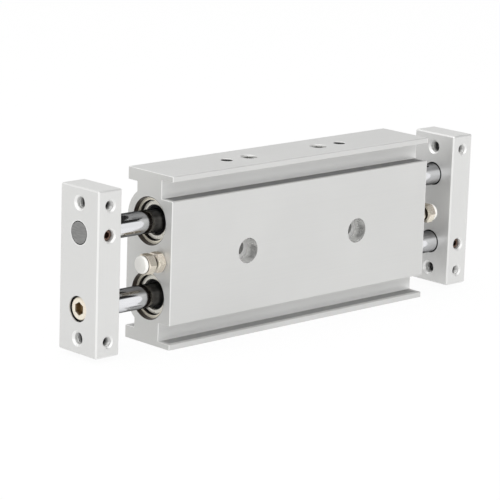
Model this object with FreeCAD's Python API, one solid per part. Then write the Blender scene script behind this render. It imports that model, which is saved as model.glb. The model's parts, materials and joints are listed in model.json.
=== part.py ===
"""Twin-rod guided pneumatic cylinder with through rods and an end plate on each side.

Frame: X runs along the rods, Y from the counterbored front face to the rear, Z up.
The origin is the centre of the body's bottom face. Everything is in millimetres.
"""
import FreeCAD, Part
import math
import os

V = FreeCAD.Vector
ALONG = V(1, 0, 0)
REARWARD = V(0, 1, 0)
UP = V(0, 0, 1)
EPS = 1.0  # how far a cutting tool runs past the face that it opens

# ---- driving dimensions ----------------------------------------------------

# body profile
body_length = 154.0
body_depth = 28.0
body_height = 74.0
front_lip = 2.5
front_groove_height = 8.0
front_groove_depth = 7.0
rear_lip = 5.5
rear_groove_depth = 5.7
edge_round = 0.35

# cylinders
bore_d = 20.0
bore_mouth_chamfer = 0.3
rod_d = 10.0
rod_spacing = 32.0

# end plates and where they stand when the slider is at rest
plate_height = 70.0
plate_depth = 24.0
plate_thickness = 12.5
plate_bevel = 0.6
gap_left = 25.5
gap_right = 19.5

# adjustable stops: how far each one stands out of its end of the body
stop_reach_left = 11.0
stop_reach_right = 12.5
stop_offset = 7.0
stop_thread_d = 5.0
stop_head_across_flats = 8.0
stop_nut_across_flats = 8.0
stop_head_height = 4.3
stop_nut_height = 4.0
stop_tip_d = 7.6
stop_tip_height = 2.0
stop_tip_round = 0.8
hexagon_face_share = 0.95
stop_thread_depth = 12.0

# holes for mounting the body
mount_spacing = 66.0
mount_hole_d = 6.6
mount_counterbore_d = 11.0
mount_counterbore_depth = 6.5
top_hole_spacing = 68.0
top_hole_d = 5.0
top_hole_depth = 8.0
mouth_chamfer = 0.3

# air ports
port_inset = 2.5
port_d = 7.4
port_depth = 7.0
port_plug_length = 4.5
port_plug_recess = 0.6
port_plug_socket = 4.0
air_passage_d = 3.0
rear_port_d = 4.2
rear_port_seat_d = 8.0
rear_port_seat_depth = 0.5

# rod end covers, counted inwards from the body's end face
ring_depth = 2.2
ring_thickness = 1.1
ring_width = 2.0
ring_groove_depth = 0.5
ring_gap_angle = 34.0
ring_lug_d = 2.6
ring_lug_hole_d = 1.2
cover_seat_step = 1.1
seal_d = 13.0
seal_length = 4.5
seal_lip_depth = 1.0
seal_lip_width = 0.8
bush_wall = 1.2
bush_start = 6.0
cover_oring_inset = 12.0
cover_oring_width = 2.4
cover_oring_depth = 1.5
buffer_thickness = 2.0
buffer_wall = 3.0

# pistons
piston_length = 20.0
piston_end_room = 2.0
piston_seal_width = 2.2
piston_seal_depth = 2.0
piston_seal_inset = 2.0
magnet_width = 3.0
magnet_depth = 2.4
wear_ring_width = 4.0
wear_ring_depth = 1.0
clip_thickness = 1.0
clip_width = 1.6
clip_groove_depth = 0.5

# end plate holes and screws
face_hole_spacing = 57.0
face_hole_d = 5.0
face_hole_chamfer = 0.9
edge_hole_d = 4.2
edge_hole_depth = 8.0
edge_hole_chamfer = 0.7
rod_pilot_depth = 2.0
rod_end_chamfer = 0.4
cap_head_d = 10.0
cap_head_height = 6.0
cap_head_recess = 0.6
cap_thread_d = 6.0
cap_counterbore_d = 11.0
cap_clearance_d = 6.6
cap_thread_length = 11.0
cap_head_chamfer = 0.4
cap_socket = 5.0
cap_socket_depth = 3.0
set_screw_d = 5.0
set_screw_length = 5.0
set_screw_socket = 2.5

# clearances
rod_running = 0.05
piston_running = 0.06
piston_clearance = 0.2
slip = 0.02
hole_room = 0.5

# ---- derived places --------------------------------------------------------

mid_z = body_height / 2
half_length = body_length / 2
front_y = -body_depth / 2
rear_y = body_depth / 2
rod_z = {"upper": mid_z + rod_spacing / 2, "lower": mid_z - rod_spacing / 2}
rod_r = rod_d / 2
bore_r = bore_d / 2
piston_r = bore_r - piston_clearance
seal_face_r = bore_r - piston_running

travel_left = gap_right - stop_reach_right
travel_right = gap_left - stop_reach_left
slider_x = (gap_right - gap_left) / 2
plate_inner_x = {"left": -half_length - gap_left, "right": half_length + gap_right}
plate_outer_x = {
    "left": plate_inner_x["left"] - plate_thickness,
    "right": plate_inner_x["right"] + plate_thickness,
}
outward = {"left": -1, "right": 1}
stop_reach = {"left": stop_reach_left, "right": stop_reach_right}

chamber_half = piston_length / 2 + piston_end_room + max(
    travel_left - slider_x, travel_right + slider_x
)
cover_inner = chamber_half + buffer_thickness
cover_outer = half_length - ring_depth - ring_thickness - slip
port_x = chamber_half - port_inset

# the rod that passes right through a plate; the other one is held by a cap screw
through_rod = {"left": "upper", "right": "lower"}
capped_rod = {"left": "lower", "right": "upper"}


# ---- plain solids ----------------------------------------------------------

def box(x, y, z):
    """A box from three (low, high) pairs."""
    return Part.makeBox(x[1] - x[0], y[1] - y[0], z[1] - z[0], V(x[0], y[0], z[0]))


def cylinder(start, direction, length, radius):
    return Part.makeCylinder(radius, length, start, direction)


def cone(start, direction, length, radius_start, radius_end):
    return Part.makeCone(radius_start, radius_end, length, start, direction)


def tube(start, direction, length, radius_out, radius_in):
    return cylinder(start, direction, length, radius_out).cut(
        cylinder(start, direction, length, radius_in)
    )


def hexagon(start, direction, length, across_flats, corner):
    """A hexagonal prism along direction, with one corner pointing along corner."""
    reach = across_flats / math.sqrt(3)
    side = direction.cross(corner)
    points = []
    for step in range(7):
        turn = math.radians(60 * step)
        points.append(start + corner * (reach * math.cos(turn)) + side * (reach * math.sin(turn)))
    return Part.Face(Part.makePolygon(points)).extrude(direction * length)


def threaded_mouth(start, direction, depth, diameter, chamfer):
    """A tapped hole's cutting tool: its wall, and the cone at its mouth."""
    wall = cylinder(start - direction * EPS, direction, depth + EPS, diameter / 2)
    mouth = cone(start, direction, chamfer, diameter / 2 + chamfer, diameter / 2)
    return wall.fuse(mouth)


def merged(solids):
    result = solids[0]
    for solid in solids[1:]:
        result = result.fuse(solid)
    return result


# ---- body ------------------------------------------------------------------

def body_profile():
    """The extrusion's section: square grooves in front, rounded ones behind."""
    half = body_height / 2
    bore_offset = rod_spacing / 2
    lip_z = half - front_lip
    ledge_z = lip_z - front_groove_height
    groove_y = front_y + front_groove_depth
    neck_y = rear_y - rear_groove_depth
    round_r = rear_y
    neck_z = bore_offset + math.sqrt(round_r ** 2 - neck_y ** 2)
    middle_turn = math.radians(45) / 2 + math.atan2(neck_z - bore_offset, neck_y) / 2
    middle = (
        round_r * math.cos(middle_turn),
        bore_offset + round_r * math.sin(middle_turn),
    )
    outline = [
        (front_y, ledge_z),
        (groove_y, ledge_z),
        (groove_y, lip_z),
        (front_y, lip_z),
        (front_y, half),
        (rear_y, half),
        (rear_y, half - rear_lip),
        (neck_y, half - rear_lip),
        (neck_y, neck_z),
    ]
    start_x = -half_length

    def point(y, z):
        return V(start_x, y, mid_z + z)

    edges = []
    for first, second in zip(outline, outline[1:]):
        edges.append(Part.LineSegment(point(*first), point(*second)).toShape())
    shoulder = (rear_y, bore_offset)
    edges.append(Part.Arc(point(*outline[-1]), point(*middle), point(*shoulder)).toShape())
    edges.append(Part.LineSegment(point(*shoulder), point(shoulder[0], -shoulder[1])).toShape())
    edges.append(
        Part.Arc(
            point(shoulder[0], -shoulder[1]),
            point(middle[0], -middle[1]),
            point(outline[-1][0], -outline[-1][1]),
        ).toShape()
    )
    mirrored = [(y, -z) for y, z in reversed(outline)]
    for first, second in zip(mirrored, mirrored[1:]):
        edges.append(Part.LineSegment(point(*first), point(*second)).toShape())
    edges.append(
        Part.LineSegment(point(front_y, -ledge_z), point(front_y, ledge_z)).toShape()
    )
    return Part.Face(Part.Wire(edges))


def cylinder_bore(z):
    """A through bore, its two retaining ring grooves and its bevelled mouths."""
    tools = [cylinder(V(-half_length - EPS, 0, z), ALONG, body_length + 2 * EPS, bore_r)]
    for sign in outward.values():
        start = V(sign * (half_length - ring_depth), 0, z)
        tools.append(
            cylinder(start, ALONG * -sign, ring_thickness + slip, bore_r + ring_groove_depth)
        )
        end = V(sign * half_length, 0, z)
        tools.append(
            cone(end, ALONG * -sign, bore_mouth_chamfer, bore_r + bore_mouth_chamfer, bore_r)
        )
    return merged(tools)


def mounting_holes():
    """Two counterbored holes through the body's depth."""
    tools = []
    for sign in (-1, 1):
        start = V(sign * mount_spacing / 2, front_y - EPS, mid_z)
        tools.append(cylinder(start, REARWARD, body_depth + 2 * EPS, mount_hole_d / 2))
        tools.append(
            cylinder(start, REARWARD, mount_counterbore_depth + EPS, mount_counterbore_d / 2)
        )
    return tools


def top_holes():
    """Two blind tapped holes in the top face."""
    tools = []
    for sign in (-1, 1):
        start = V(sign * top_hole_spacing / 2, 0, body_height)
        tools.append(threaded_mouth(start, -UP, top_hole_depth, top_hole_d, mouth_chamfer))
    return tools


def air_ports():
    """Top and rear ports at each end of the chambers, and the passage that joins them."""
    tools = []
    for sign in (-1, 1):
        x = sign * port_x
        top = V(x, 0, body_height)
        tools.append(threaded_mouth(top, -UP, port_depth, port_d, mouth_chamfer))
        passage_length = body_height - rod_z["lower"]
        tools.append(cylinder(top, -UP, passage_length, air_passage_d / 2))
        rear = V(x, rear_y + EPS, rod_z["upper"])
        tools.append(cylinder(rear, -REARWARD, rear_y + EPS, rear_port_d / 2))
        tools.append(
            cylinder(rear, -REARWARD, rear_port_seat_depth + EPS, rear_port_seat_d / 2)
        )
    return tools


def stop_holes():
    """The tapped hole for the stop bolt in each end face."""
    tools = []
    for sign in (-1, 1):
        start = V(sign * (half_length + EPS), -stop_offset, mid_z)
        depth = stop_thread_depth + EPS + hole_room
        tools.append(cylinder(start, ALONG * -sign, depth, stop_thread_d / 2 + slip))
    return tools


def make_body():
    solid = body_profile().extrude(ALONG * body_length)
    solid = solid.makeFillet(edge_round, solid.Edges)
    tools = [cylinder_bore(z) for z in rod_z.values()]
    tools += mounting_holes() + top_holes() + air_ports() + stop_holes()
    for tool in tools:
        solid = solid.cut(tool)
    return solid


def make_port_plugs():
    """Hexagon socket plugs that close the top ports."""
    plugs = []
    for sign in (-1, 1):
        start = V(sign * port_x, 0, body_height - port_plug_recess)
        plug = cylinder(start, -UP, port_plug_length, port_d / 2 - slip)
        socket = hexagon(start + UP * EPS, -UP, port_plug_length / 2 + EPS, port_plug_socket, ALONG)
        plugs.append(plug.cut(socket))
    return Part.makeCompound(plugs)


# ---- the pieces at each end of each bore -----------------------------------

def end_point(side, depth, z):
    """The point on a bore's axis at a depth inside the body's end face."""
    return V(outward[side] * (half_length - depth), 0, z)


def inward(side):
    return ALONG * -outward[side]


def make_retaining_ring(side, z):
    """An open spring ring with two lugs, its gap turned to the rear."""
    start = end_point(side, ring_depth, z)
    ring_out = bore_r + ring_groove_depth - slip
    ring_in = ring_out - ring_width
    ring = tube(start, inward(side), ring_thickness, ring_out, ring_in)
    reach = ring_out + EPS
    gap_half = math.radians(ring_gap_angle) / 2
    wedge_points = [
        start,
        start + V(0, reach * math.cos(gap_half), reach * math.sin(gap_half)),
        start + V(0, reach / math.cos(gap_half), 0),
        start + V(0, reach * math.cos(gap_half), -reach * math.sin(gap_half)),
        start,
    ]
    wedge = Part.Face(Part.makePolygon(wedge_points)).extrude(inward(side) * ring_thickness)
    ring = ring.cut(wedge)
    lug_r = ring_lug_d / 2
    lug_turn = gap_half + lug_r / ring_in
    for sign in (-1, 1):
        centre = start + V(0, ring_in * math.cos(lug_turn), sign * ring_in * math.sin(lug_turn))
        ring = ring.fuse(cylinder(centre, inward(side), ring_thickness, lug_r))
        ring = ring.cut(cylinder(centre, inward(side), ring_thickness, ring_lug_hole_d / 2))
    return ring.removeSplitter()


def cover_length():
    return cover_outer - cover_inner


def make_rod_cover(side, z):
    """A long sleeve that holds the rod seal and the guide bush."""
    start = end_point(side, half_length - cover_outer, z)
    cover = cylinder(start, inward(side), cover_length(), bore_r - slip)
    cover = cover.cut(cylinder(start, inward(side), cover_length(), rod_r + hole_room))
    pocket = cover_seat_step + seal_length + slip
    cover = cover.cut(cylinder(start, inward(side), pocket, seal_d / 2))
    bush_hole = cylinder(
        start + inward(side) * bush_start,
        inward(side),
        cover_length() - bush_start,
        rod_r + bush_wall,
    )
    cover = cover.cut(bush_hole)
    groove_start = start + inward(side) * cover_oring_inset
    groove = tube(
        groove_start, inward(side), cover_oring_width, bore_r + EPS, bore_r - cover_oring_depth
    )
    return cover.cut(groove)


def make_cover_oring(side, z):
    """The ring that seals the cover in its bore, pressed to the groove's shape."""
    start = end_point(side, half_length - cover_outer + cover_oring_inset + slip, z)
    return tube(
        start,
        inward(side),
        cover_oring_width - 2 * slip,
        bore_r - slip,
        bore_r - cover_oring_depth + slip,
    )


def make_rod_seal(side, z):
    """The lip seal round the rod, with a coned lip facing out."""
    depth = half_length - cover_outer + cover_seat_step
    start = end_point(side, depth, z)
    seal = tube(start, inward(side), seal_length, seal_d / 2 - slip, rod_r + rod_running)
    hole_r = rod_r + rod_running
    lip = cone(start, inward(side), seal_lip_depth, hole_r + seal_lip_width, hole_r)
    return seal.cut(lip)


def make_guide_bush(side, z):
    start = end_point(side, half_length - cover_outer + bush_start, z)
    return tube(
        start,
        inward(side),
        cover_length() - bush_start,
        rod_r + bush_wall - slip,
        rod_r + rod_running,
    )


def make_buffer(side, z):
    """The rubber ring on the cover's inner face that the piston would meet."""
    start = end_point(side, half_length - cover_inner + slip, z)
    outer = bore_r - slip
    return tube(start, inward(side), buffer_thickness - slip, outer, outer - buffer_wall)


# ---- adjustable stops ------------------------------------------------------

def stop_point(side, distance):
    """The point on the stop's axis at a distance outside the body's end face."""
    return V(outward[side] * (half_length + distance), -stop_offset, mid_z)


def chamfered_hexagon(start, direction, length, across_flats, corner):
    """A hexagonal head whose outer corners are turned down on its far end."""
    prism = hexagon(start, direction, length, across_flats, corner)
    face_r = across_flats / 2 * hexagon_face_share
    turned = cone(start, direction, length, face_r + length * math.sqrt(3), face_r)
    return prism.common(turned)


def make_lock_nut(side):
    start = stop_point(side, 0)
    direction = ALONG * outward[side]
    nut = chamfered_hexagon(
        start, direction, stop_nut_height, stop_nut_across_flats, -REARWARD
    )
    return nut.cut(cylinder(start, direction, stop_nut_height, stop_thread_d / 2 + slip))


def make_stop_bolt(side):
    direction = ALONG * outward[side]
    head_base = stop_reach[side] - stop_tip_height - stop_head_height
    head = chamfered_hexagon(
        stop_point(side, head_base), direction, stop_head_height, stop_head_across_flats, -REARWARD
    )
    shank_length = head_base + stop_thread_depth
    shank = cylinder(
        stop_point(side, -stop_thread_depth), direction, shank_length, stop_thread_d / 2
    )
    return head.fuse(shank)


def make_stop_tip(side):
    """The soft disc on the bolt's head, rounded at its rim."""
    direction = ALONG * outward[side]
    start = stop_point(side, stop_reach[side] - stop_tip_height)
    disc = cylinder(start, direction, stop_tip_height, stop_tip_d / 2)
    end_x = stop_point(side, stop_reach[side]).x
    rim = [
        edge for edge in disc.Edges
        if abs(edge.CenterOfMass.x - end_x) < 0.01 and edge.Length > stop_tip_d
        and abs(edge.BoundBox.XLength) < 0.01
    ]
    return disc.makeFillet(stop_tip_round, rim)


# ---- slider ----------------------------------------------------------------

def make_end_plate(side):
    """A plate with the through rod clamped from the front and the other rod cap screwed."""
    x = sorted((plate_inner_x[side], plate_outer_x[side]))
    half_depth = plate_depth / 2
    z = (mid_z - plate_height / 2, mid_z + plate_height / 2)
    plate = box(x, (-half_depth, half_depth), z)
    plate = plate.makeChamfer(plate_bevel, plate.Edges)
    inner = plate_inner_x[side]
    outer = plate_outer_x[side]
    out = ALONG * outward[side]
    middle_x = (inner + outer) / 2

    through = V(inner, 0, rod_z[through_rod[side]]) - out * EPS
    capped = V(inner, 0, rod_z[capped_rod[side]]) - out * EPS
    head_room = cap_head_height + cap_head_recess
    counterbore = V(outer, 0, rod_z[capped_rod[side]]) + out * EPS
    tools = [
        cylinder(through, out, plate_thickness + 2 * EPS, rod_r + slip),
        cylinder(capped, out, rod_pilot_depth + EPS, rod_r + slip),
        cylinder(capped, out, plate_thickness + 2 * EPS, cap_clearance_d / 2),
        cylinder(counterbore, -out, head_room + EPS, cap_counterbore_d / 2),
    ]
    for sign in (-1, 1):
        hole_z = mid_z + sign * face_hole_spacing / 2
        inner_mouth = V(inner, 0, hole_z)
        outer_mouth = V(outer, 0, hole_z)
        tools.append(
            threaded_mouth(outer_mouth, -out, plate_thickness + EPS, face_hole_d, face_hole_chamfer)
        )
        tools.append(threaded_mouth(inner_mouth, out, EPS, face_hole_d, face_hole_chamfer))
        edge_mouth = V(middle_x, -half_depth, hole_z)
        tools.append(
            threaded_mouth(edge_mouth, REARWARD, edge_hole_depth, edge_hole_d, edge_hole_chamfer)
        )
    set_mouth = V(middle_x, -half_depth, rod_z[through_rod[side]])
    tools.append(
        threaded_mouth(set_mouth, REARWARD, half_depth, set_screw_d + 2 * slip, edge_hole_chamfer)
    )
    for tool in tools:
        plate = plate.cut(tool)
    return plate


def rod_span(which):
    """A rod's two ends: flush with one plate's outer face, seated in the other's pilot."""
    ends = []
    for side in ("left", "right"):
        if through_rod[side] == which:
            ends.append(plate_outer_x[side])
        else:
            ends.append(plate_inner_x[side] + outward[side] * rod_pilot_depth)
    return ends


def clip_places():
    """Where the two clip grooves start and which way they run, one at each piston face."""
    half = piston_length / 2
    return [(slider_x - half, -ALONG), (slider_x + half, ALONG)]


def make_piston_rod(which):
    """A through rod, grooved for the piston's clips and tapped at its seated end."""
    z = rod_z[which]
    low, high = rod_span(which)
    rod = cylinder(V(low, 0, z), ALONG, high - low, rod_r)
    ends = [edge for edge in rod.Edges if edge.BoundBox.XLength < 0.01]
    rod = rod.makeChamfer(rod_end_chamfer, ends)
    for x, direction in clip_places():
        groove = tube(
            V(x, 0, z), direction, clip_thickness + 2 * slip, rod_r + EPS, rod_r - clip_groove_depth
        )
        rod = rod.cut(groove)
    side = [name for name in outward if capped_rod[name] == which][0]
    seat_x = plate_inner_x[side] + outward[side] * rod_pilot_depth
    tapped = cap_thread_length + hole_room
    return rod.cut(
        cylinder(V(seat_x, 0, z), inward(side), tapped, cap_thread_d / 2 + slip)
    )


def make_cap_screw(side):
    """A socket head cap screw from the plate's outer face into the rod's end."""
    z = rod_z[capped_rod[side]]
    into = inward(side)
    head_top = V(plate_outer_x[side], 0, z) + into * cap_head_recess
    head = cylinder(head_top, into, cap_head_height, cap_head_d / 2)
    rims = [
        edge for edge in head.Edges
        if abs(edge.CenterOfMass.x - head_top.x) < 0.01 and edge.BoundBox.XLength < 0.01
    ]
    head = head.makeChamfer(cap_head_chamfer, rims)
    socket = hexagon(head_top - into * EPS, into, cap_socket_depth + EPS, cap_socket, UP)
    head = head.cut(socket)
    web = plate_thickness - rod_pilot_depth - cap_head_recess - cap_head_height
    shank_start = head_top + into * cap_head_height
    shank = cylinder(shank_start, into, web + cap_thread_length, cap_thread_d / 2)
    return head.fuse(shank)


def make_set_screw(side):
    """A socket set screw in the plate's front edge, pressed on the through rod."""
    middle_x = (plate_inner_x[side] + plate_outer_x[side]) / 2
    z = rod_z[through_rod[side]]
    tip = V(middle_x, -rod_r - slip, z)
    screw = cylinder(tip, -REARWARD, set_screw_length, set_screw_d / 2)
    outer_end = tip - REARWARD * set_screw_length
    socket = hexagon(
        outer_end - REARWARD * EPS, REARWARD, set_screw_length / 2 + EPS, set_screw_socket, UP
    )
    return screw.cut(socket)


# ---- pistons ---------------------------------------------------------------

def piston_groove(z, start_offset, width, depth):
    """The tool for a groove round a piston, placed from its left face."""
    start = V(slider_x - piston_length / 2 + start_offset, 0, z)
    return tube(start, ALONG, width, piston_r + EPS, piston_r - depth)


def piston_band(z, start_offset, width, depth, outer_r):
    """The ring that fills such a groove."""
    start = V(slider_x - piston_length / 2 + start_offset + slip, 0, z)
    return tube(start, ALONG, width - 2 * slip, outer_r, piston_r - depth + slip)


def seal_offsets():
    return [piston_seal_inset, piston_length - piston_seal_inset - piston_seal_width]


def magnet_offset():
    return seal_offsets()[0] + piston_seal_width + piston_seal_inset


def wear_ring_offset():
    return seal_offsets()[1] - piston_seal_inset - wear_ring_width


def make_piston(which):
    z = rod_z[which]
    start = V(slider_x - piston_length / 2, 0, z)
    piston = tube(start, ALONG, piston_length, piston_r, rod_r + slip)
    for offset in seal_offsets():
        piston = piston.cut(piston_groove(z, offset, piston_seal_width, piston_seal_depth))
    piston = piston.cut(piston_groove(z, magnet_offset(), magnet_width, magnet_depth))
    return piston.cut(piston_groove(z, wear_ring_offset(), wear_ring_width, wear_ring_depth))


def make_piston_seals(which):
    z = rod_z[which]
    rings = []
    for offset in seal_offsets():
        rings.append(
            piston_band(z, offset, piston_seal_width, piston_seal_depth, seal_face_r)
        )
    return Part.makeCompound(rings)


def make_piston_magnet(which):
    return piston_band(
        rod_z[which], magnet_offset(), magnet_width, magnet_depth, piston_r - slip
    )


def make_wear_ring(which):
    return piston_band(
        rod_z[which], wear_ring_offset(), wear_ring_width, wear_ring_depth, seal_face_r
    )


def make_piston_clips(which):
    """Two snap rings that hold the piston on its rod."""
    clips = []
    for x, direction in clip_places():
        start = V(x, 0, rod_z[which]) + direction * slip
        inner = rod_r - clip_groove_depth + slip
        clips.append(tube(start, direction, clip_thickness, inner + clip_width, inner))
    return Part.makeCompound(clips)


# ---- the assembly ----------------------------------------------------------

def all_nodes():
    nodes = {"body": make_body(), "port_plugs": make_port_plugs()}
    for which, z in rod_z.items():
        for side in outward:
            tag = side + "_" + which
            nodes["retaining_ring_" + tag] = make_retaining_ring(side, z)
            nodes["rod_cover_" + tag] = make_rod_cover(side, z)
            nodes["rod_seal_" + tag] = make_rod_seal(side, z)
            nodes["guide_bush_" + tag] = make_guide_bush(side, z)
            nodes["cover_oring_" + tag] = make_cover_oring(side, z)
            nodes["buffer_ring_" + tag] = make_buffer(side, z)
        nodes["piston_rod_" + which] = make_piston_rod(which)
        nodes["piston_" + which] = make_piston(which)
        nodes["piston_seals_" + which] = make_piston_seals(which)
        nodes["piston_magnet_" + which] = make_piston_magnet(which)
        nodes["wear_ring_" + which] = make_wear_ring(which)
        nodes["piston_clips_" + which] = make_piston_clips(which)
    for side in outward:
        nodes["end_plate_" + side] = make_end_plate(side)
        nodes["cap_screw_" + side] = make_cap_screw(side)
        nodes["set_screw_" + side] = make_set_screw(side)
        nodes["stop_bolt_" + side] = make_stop_bolt(side)
        nodes["lock_nut_" + side] = make_lock_nut(side)
        nodes["stop_tip_" + side] = make_stop_tip(side)
    return nodes


os.makedirs("parts", exist_ok=True)
for name, shape in all_nodes().items():
    shape.exportStep("parts/" + name + ".step")
    print(name, len(shape.Solids), round(shape.Volume, 1), shape.isValid())
print("travel", -travel_left, travel_right, "chamber half", chamber_half, "port x", port_x)
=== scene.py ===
"""Finishes and fine detail for a twin-rod guided pneumatic cylinder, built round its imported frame.

Sizes are in metres. X runs along the rods, Y from the counterbored front face to the rear, Z up.
Run as a script it dresses the frame; its panel lists the same steps one by one.
"""
import json
import math

import bmesh
import bpy
import numpy as np
from bpy.props import FloatProperty, FloatVectorProperty, IntProperty, PointerProperty
from mathutils import Matrix, Vector


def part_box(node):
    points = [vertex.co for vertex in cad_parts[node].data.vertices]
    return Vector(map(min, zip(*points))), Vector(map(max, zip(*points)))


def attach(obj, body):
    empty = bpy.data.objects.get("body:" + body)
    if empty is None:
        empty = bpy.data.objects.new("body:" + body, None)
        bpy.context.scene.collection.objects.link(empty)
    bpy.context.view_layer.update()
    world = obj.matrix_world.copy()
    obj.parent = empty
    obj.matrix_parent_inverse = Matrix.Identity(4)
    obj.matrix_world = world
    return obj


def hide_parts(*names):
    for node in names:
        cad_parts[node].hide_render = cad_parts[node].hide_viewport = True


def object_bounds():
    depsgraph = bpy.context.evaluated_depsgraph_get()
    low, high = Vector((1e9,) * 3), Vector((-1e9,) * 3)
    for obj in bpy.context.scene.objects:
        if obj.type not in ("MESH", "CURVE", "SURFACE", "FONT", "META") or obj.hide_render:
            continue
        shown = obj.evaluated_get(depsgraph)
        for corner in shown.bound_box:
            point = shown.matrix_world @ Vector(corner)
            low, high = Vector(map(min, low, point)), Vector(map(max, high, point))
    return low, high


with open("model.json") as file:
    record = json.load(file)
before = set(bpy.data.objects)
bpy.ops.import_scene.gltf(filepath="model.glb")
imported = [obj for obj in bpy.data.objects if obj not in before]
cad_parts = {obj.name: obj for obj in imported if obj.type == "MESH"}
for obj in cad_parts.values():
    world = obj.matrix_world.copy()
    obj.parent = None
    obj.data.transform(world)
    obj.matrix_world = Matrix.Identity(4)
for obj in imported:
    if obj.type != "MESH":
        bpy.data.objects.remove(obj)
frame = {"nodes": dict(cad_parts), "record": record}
CAD_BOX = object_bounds()

bl_info = {
    "name": "Twin-rod cylinder finishes",
    "version": (1, 0, 0),
    "blender": (4, 5, 0),
    "location": "3D View > Sidebar > Cylinder",
    "description": "Dresses a twin-rod cylinder with turned parts, threads and metal finishes",
    "category": "Object",
}

MM = 0.001
SIDES = {"left": -1.0, "right": 1.0}
LEVELS = ("upper", "lower")
ALONG = np.array((1.0, 0.0, 0.0))
REARWARD = np.array((0.0, 1.0, 0.0))
UPWARD = np.array((0.0, 0.0, 1.0))
ROUND_X = (0, 1, 1)  # the axes that count in a distance from a line along X
ROUND_Y = (1, 0, 1)
ALL_ROUND = 2 * math.pi
HIDE = 0.02 * MM  # how far a lining stands proud of the wall that it lines
BURIED = 0.3 * MM  # how far a lining's back lies inside the metal
ON_WALL = HIDE / 10  # how near a point lies to a wall that it belongs to
SQUARE = (0.9, 0.95)  # facings between which a facet counts as square to an axis


class Lengths:
    """Named lengths, given in millimetres."""

    def __init__(self, **millimetres):
        for name, value in millimetres.items():
            setattr(self, name, value * MM)


# ---- where things are, read from the frame ---------------------------------------------------

def centre_of(node):
    low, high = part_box(node)
    return np.array((low + high) / 2)


def size_of(node):
    low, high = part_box(node)
    return np.array(high - low)


def mount(name):
    return next(m for m in frame["record"]["mounts"] if m["name"] == name)


def mount_pair(row, key):
    """The offsets of a mount's two holes from its middle."""
    half = row["dims"][key] / 2 * MM
    return -half, half


def rod_centre(level):
    """A point on a rod's axis at the middle of the body."""
    return centre_of("piston_rod_" + level) * ROUND_X


def end_x(node, side):
    """The X of a node's end towards one side."""
    low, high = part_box(node)
    return low.x if SIDES[side] < 0 else high.x


def through_level(side):
    """Which rod passes right through the plate on one side."""
    return "upper" if side == "left" else "lower"


def capped_level(side):
    """Which rod the cap screw holds on one side."""
    return "lower" if side == "left" else "upper"


# ---- outlines --------------------------------------------------------------------------------

def softened(outline, radius, steps=4):
    """Each corner of a closed outline becomes a quadratic curve that starts and ends a radius
    from it, in a number of steps."""
    points = np.asarray(outline, float)
    back = np.roll(points, 1, 0) - points
    ahead = np.roll(points, -1, 0) - points
    back_length = np.linalg.norm(back, axis=1, keepdims=True)
    ahead_length = np.linalg.norm(ahead, axis=1, keepdims=True)
    cut = np.minimum(radius, 0.45 * np.minimum(back_length, ahead_length))
    start = points + back / back_length * cut
    end = points + ahead / ahead_length * cut
    share = np.linspace(0, 1, steps)[None, :, None]
    curve = (
        (1 - share) ** 2 * start[:, None]
        + 2 * share * (1 - share) * points[:, None]
        + share ** 2 * end[:, None]
    )
    return curve.reshape(-1, 2)


def run(start, end, count):
    """Evenly spaced points from start to end, both kept."""
    share = np.linspace(0, 1, count)[:, None]
    return np.asarray(start) * (1 - share) + np.asarray(end) * share


def corner_radius(across_flats):
    return across_flats / math.sqrt(3)


def hexagon_radius(across_flats, angle):
    """The distance from a hexagon's centre to its side, at an angle from one of its corners."""
    sector = ALL_ROUND / 6
    return across_flats / 2 / np.cos(angle % sector - sector / 2)


def threaded(start, end, pitch, depth, radius):
    """Cuts a V thread: the radius drops by a triangle wave of the turns along the axis less the
    turns round it, and the wave fades over a pitch at either end."""
    def shape(along, across, angle):
        turns = along / pitch - angle / ALL_ROUND
        wave = 1 - np.abs(2 * (turns % 1) - 1)
        fade = np.clip(np.minimum(along - start, end - along) / pitch, 0, 1)
        on_wall = np.abs(across - radius) < ON_WALL
        return along, across - np.where(on_wall, depth * wave * fade, 0)
    return shape


def thread_points(start, end, pitch, radius):
    """Points on a wall, eight to a pitch, which carry a thread."""
    return run((start, radius), (end, radius), max(3, int((end - start) / pitch * 8)))


def after(*shapes):
    """Applies several shape functions in turn."""
    def shape(along, across, angle):
        for change in shapes:
            along, across = change(along, across, angle)
        return along, across
    return shape


# ---- surfaces --------------------------------------------------------------------------------

def round_axis(origin, direction, first, along, across, angle):
    """Points at a distance along an axis and across it, at an angle that starts from first."""
    second = np.cross(direction, first)
    return (
        np.asarray(origin)
        + along[..., None] * direction
        + (across * np.cos(angle))[..., None] * first
        + (across * np.sin(angle))[..., None] * second
    )


def lathe(origin, direction, outline, first=None, around=96, shape=None):
    """Carries an outline of (along, radius) points round an axis: a grid of outline by angle."""
    direction = np.asarray(direction, float)
    if first is None:
        first = REARWARD if abs(direction[1]) < 0.5 else UPWARD
    angle = np.linspace(0, ALL_ROUND, around, endpoint=False)[None, :]
    along = outline[:, :1] + 0 * angle
    across = outline[:, 1:] + 0 * angle
    if shape:
        along, across = shape(along, across, angle + 0 * along)
    return round_axis(origin, direction, first, along, across, angle)


def shell(grid, loop=True, ring=True):
    """The points and four-cornered faces of a grid, turned so that the faces point outwards."""
    rows, columns = grid.shape[:2]
    row = np.arange(rows if loop else rows - 1)[:, None]
    column = np.arange(columns if ring else columns - 1)[None, :]
    next_row = (row + 1) % rows
    next_column = (column + 1) % columns
    corners = (
        row * columns + column,
        next_row * columns + column,
        next_row * columns + next_column,
        row * columns + next_column,
    )
    faces = np.stack([corner.ravel() for corner in corners], 1)
    points = grid.reshape(-1, 3)
    a, b, c, d = (points[faces[:, k]] - points[0] for k in range(4))
    volume = (a * np.cross(b, c)).sum() + (a * np.cross(c, d)).sum()
    return points, faces if volume > 0 else faces[:, ::-1]


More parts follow.
